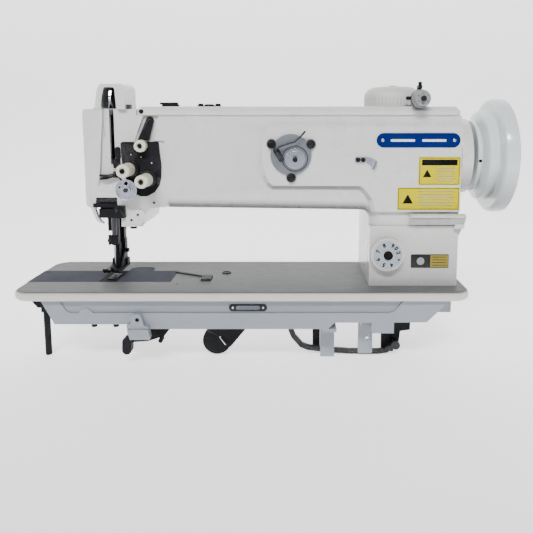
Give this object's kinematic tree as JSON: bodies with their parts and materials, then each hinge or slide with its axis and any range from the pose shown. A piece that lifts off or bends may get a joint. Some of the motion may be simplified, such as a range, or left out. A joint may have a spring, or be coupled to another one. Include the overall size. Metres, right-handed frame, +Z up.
{
  "type": "sewing machine",
  "caption": "Long-arm flatbed walking-foot lockstitch sewing machine head with handwheel, tension posts, bobbin winder, feed and feet levers.",
  "frame": {"origin": "middle of the machine's footprint box, at the level of its feet", "axes": "+X along the bed towards the handwheel, +Y away from the operator, +Z up"},
  "size_m": [0.718, 0.187, 0.4075],
  "materials": {
    "arm_paint": "gloss",
    "under_paint": "satin",
    "wheel_paint": "gloss",
    "dark_plate": "satin",
    "black_steel": "satin",
    "steel": "polished",
    "chrome": "polished",
    "cream_plastic": "satin",
    "dial_plastic": "satin",
    "blue_plate": "gloss",
    "label_yellow": "satin",
    "badge_black": "satin",
    "bronze": "satin",
    "belt_rubber": "matt"
  },
  "bodies": {
    "machine_frame": {"arm_casting": "arm_paint", "bed_plate": "arm_paint", "face_plate": "arm_paint", "top_cover": "arm_paint", "rear_arm_cover": "arm_paint", "shaft_collar": "arm_paint", "take_up_guard": "arm_paint", "underbed_frame": "under_paint", "front_brackets": "under_paint", "right_bracket": "under_paint", "black_brackets": "black_steel", "support_rod": "black_steel", "badges": "badge_black", "bed_fittings": "black_steel", "bobbin_case": "steel", "label_plates": "label_yellow", "machine_screws": "black_steel", "name_plate": "blue_plate", "needle_plate": "dark_plate", "shaft_bushes": "bronze", "slide_plate_right": "dark_plate", "tension_plate": "black_steel", "tension_posts": "steel", "thread_cutter": "chrome", "thread_guides": "black_steel", "timing_belt": "belt_rubber", "winder_plate": "steel", "winder_tension": "steel", "window_guides": "black_steel"},
    "main_shaft_unit": {"main_shaft": "steel", "shaft_fittings": "steel", "handwheel": "wheel_paint"},
    "lower_shaft_unit": {"lower_shaft": "steel"},
    "hook_unit": {"rotating_hook": "steel"},
    "needle_frame_unit": {"needle_bar_frame": "steel"},
    "needle_bar_unit": {"needle_bar": "steel", "needle_clamp": "black_steel", "needle": "chrome"},
    "walking_foot_unit": {"walking_bar": "steel", "walking_foot": "black_steel"},
    "presser_unit": {"presser_bar": "black_steel", "presser_foot": "black_steel", "presser_spring": "steel"},
    "take_up_unit": {"take_up_lever": "chrome"},
    "hand_lifter_unit": {"hand_lifter": "steel"},
    "feed_unit": {"feed_dog": "steel"},
    "stitch_dial_unit": {"stitch_dial": "dial_plastic"},
    "reverse_lever_unit": {"reverse_lever": "arm_paint"},
    "lift_dial_unit": {"lift_dial": "dial_plastic"},
    "winder_spindle_unit": {"winder_spindle": "chrome"},
    "winder_lever_unit": {"winder_lever": "steel"},
    "tension_nut_left_unit": {"tension_nut_left": "cream_plastic"},
    "tension_nut_right_unit": {"tension_nut_right": "cream_plastic"},
    "pretension_nut_unit": {"pretension_nut": "cream_plastic"},
    "rotary_disc_unit": {"rotary_disc": "chrome"},
    "winder_dial_unit": {"winder_tension_dial": "dial_plastic"},
    "slide_plate_unit": {"slide_plate_left": "dark_plate"},
    "bell_crank_unit": {"bell_crank": "black_steel"},
    "knee_lever_unit": {"knee_lever": "black_steel"},
    "treadle_bar_unit": {"treadle_bar": "black_steel"}
  },
  "joints": [
    {"name": "main_shaft_turn", "type": "hinge", "parent": "machine_frame", "child": "main_shaft_unit", "pos_m": [-0.234, 0.0005, 0.3021], "axis": [1, 0, 0], "continuous": true},
    {"name": "lower_shaft_turn", "type": "hinge", "parent": "machine_frame", "child": "lower_shaft_unit", "pos_m": [-0.234, -0.0175, 0.0745], "axis": [1, 0, 0], "continuous": true},
    {"name": "hook_turn", "type": "hinge", "parent": "machine_frame", "child": "hook_unit", "pos_m": [-0.2135, 0.0065, 0.0965], "axis": [0, 0, 1], "continuous": true},
    {"name": "needle_frame_rock", "type": "hinge", "parent": "machine_frame", "child": "needle_frame_unit", "pos_m": [-0.234, 0.0005, 0.3525], "axis": [1, 0, 0], "range_deg": [-1.09, 1.09]},
    {"name": "needle_bar_stroke", "type": "slide", "parent": "needle_frame_unit", "child": "needle_bar_unit", "axis": [0, 0, 1], "range_m": [-0.036, 0]},
    {"name": "walking_foot_lift", "type": "slide", "parent": "needle_frame_unit", "child": "walking_foot_unit", "axis": [0, 0, 1], "range_m": [-0.0082, 0]},
    {"name": "hand_lifter_turn", "type": "hinge", "parent": "machine_frame", "child": "hand_lifter_unit", "pos_m": [-0.2, 0.0605, 0.2385], "axis": [0, 1, 0], "range_deg": [0, 55]},
    {"name": "presser_bar_lift", "type": "slide", "parent": "machine_frame", "child": "presser_unit", "axis": [0, 0, 1], "range_m": [-0.0088, 0], "deforming": ["presser_spring"]},
    {"name": "take_up_swing", "type": "hinge", "parent": "machine_frame", "child": "take_up_unit", "pos_m": [-0.218, 0.0255, 0.3415], "axis": [1, 0, 0], "range_deg": [0, 52]},
    {"name": "feed_stroke", "type": "slide", "parent": "machine_frame", "child": "feed_unit", "axis": [0, 1, 0], "range_m": [-0.0045, 0.0045]},
    {"name": "stitch_dial_turn", "type": "hinge", "parent": "machine_frame", "child": "stitch_dial_unit", "pos_m": [0.1724, -0.0495, 0.1651], "axis": [0, -1, 0], "range_deg": [0, 300]},
    {"name": "reverse_lever_press", "type": "hinge", "parent": "machine_frame", "child": "reverse_lever_unit", "pos_m": [0.276, 0.0125, 0.1565], "axis": [1, 0, 0], "range_deg": [0, 12], "stiffness_Nm_per_rad": 2, "springref_deg": -5.73},
    {"name": "lift_dial_turn", "type": "hinge", "parent": "machine_frame", "child": "lift_dial_unit", "pos_m": [0.186, 0.0085, 0.3785], "axis": [0, 0, 1], "range_deg": [0, 270]},
    {"name": "winder_spindle_turn", "type": "hinge", "parent": "machine_frame", "child": "winder_spindle_unit", "pos_m": [0.0407, -0.0525, 0.3014], "axis": [0, -1, 0], "continuous": true},
    {"name": "winder_lever_swing", "type": "hinge", "parent": "machine_frame", "child": "winder_lever_unit", "pos_m": [0.0196, -0.0525, 0.3049], "axis": [0, 1, 0], "range_deg": [0, 10]},
    {"name": "tension_nut_left_turn", "type": "hinge", "parent": "machine_frame", "child": "tension_nut_left_unit", "pos_m": [-0.191, -0.0695, 0.287], "axis": [0, -1, 0], "range_deg": [-360, 360]},
    {"name": "tension_nut_right_turn", "type": "hinge", "parent": "machine_frame", "child": "tension_nut_right_unit", "pos_m": [-0.1665, -0.0695, 0.2725], "axis": [0, -1, 0], "range_deg": [-360, 360]},
    {"name": "pretension_nut_turn", "type": "hinge", "parent": "machine_frame", "child": "pretension_nut_unit", "pos_m": [-0.176, -0.0515, 0.319], "axis": [0, -1, 0], "range_deg": [-360, 360]},
    {"name": "rotary_disc_turn", "type": "hinge", "parent": "machine_frame", "child": "rotary_disc_unit", "pos_m": [-0.1957, -0.0575, 0.2577], "axis": [0, -1, 0], "continuous": true},
    {"name": "winder_dial_turn", "type": "hinge", "parent": "machine_frame", "child": "winder_dial_unit", "pos_m": [0.2149, -0.0615, 0.3844], "axis": [0, -1, 0], "range_deg": [-180, 180]},
    {"name": "slide_plate_slide", "type": "slide", "parent": "machine_frame", "child": "slide_plate_unit", "axis": [1, 0, 0], "range_m": [-0.06, 0]},
    {"name": "bell_crank_turn", "type": "hinge", "parent": "machine_frame", "child": "bell_crank_unit", "pos_m": [-0.181, -0.0595, 0.0765], "axis": [0, 1, 0], "range_deg": [0, 10]},
    {"name": "knee_lever_turn", "type": "hinge", "parent": "machine_frame", "child": "knee_lever_unit", "pos_m": [-0.031, -0.0195, 0.0525], "axis": [0, 1, 0], "range_deg": [0, 12]},
    {"name": "treadle_bar_turn", "type": "hinge", "parent": "machine_frame", "child": "treadle_bar_unit", "pos_m": [0.194, -0.0195, 0.0155], "axis": [0, 1, 0], "range_deg": [0, 5]}
  ],
  "couplings": [
    {"joint": "lower_shaft_turn", "follows": "main_shaft_turn", "ratio": 1},
    {"joint": "hook_turn", "follows": "main_shaft_turn", "ratio": 2},
    {"joint": "feed_stroke", "follows": "needle_frame_rock", "m_per_rad": 0.2355},
    {"joint": "presser_bar_lift", "follows": "hand_lifter_turn", "m_per_rad": -0.00915}
  ]
}
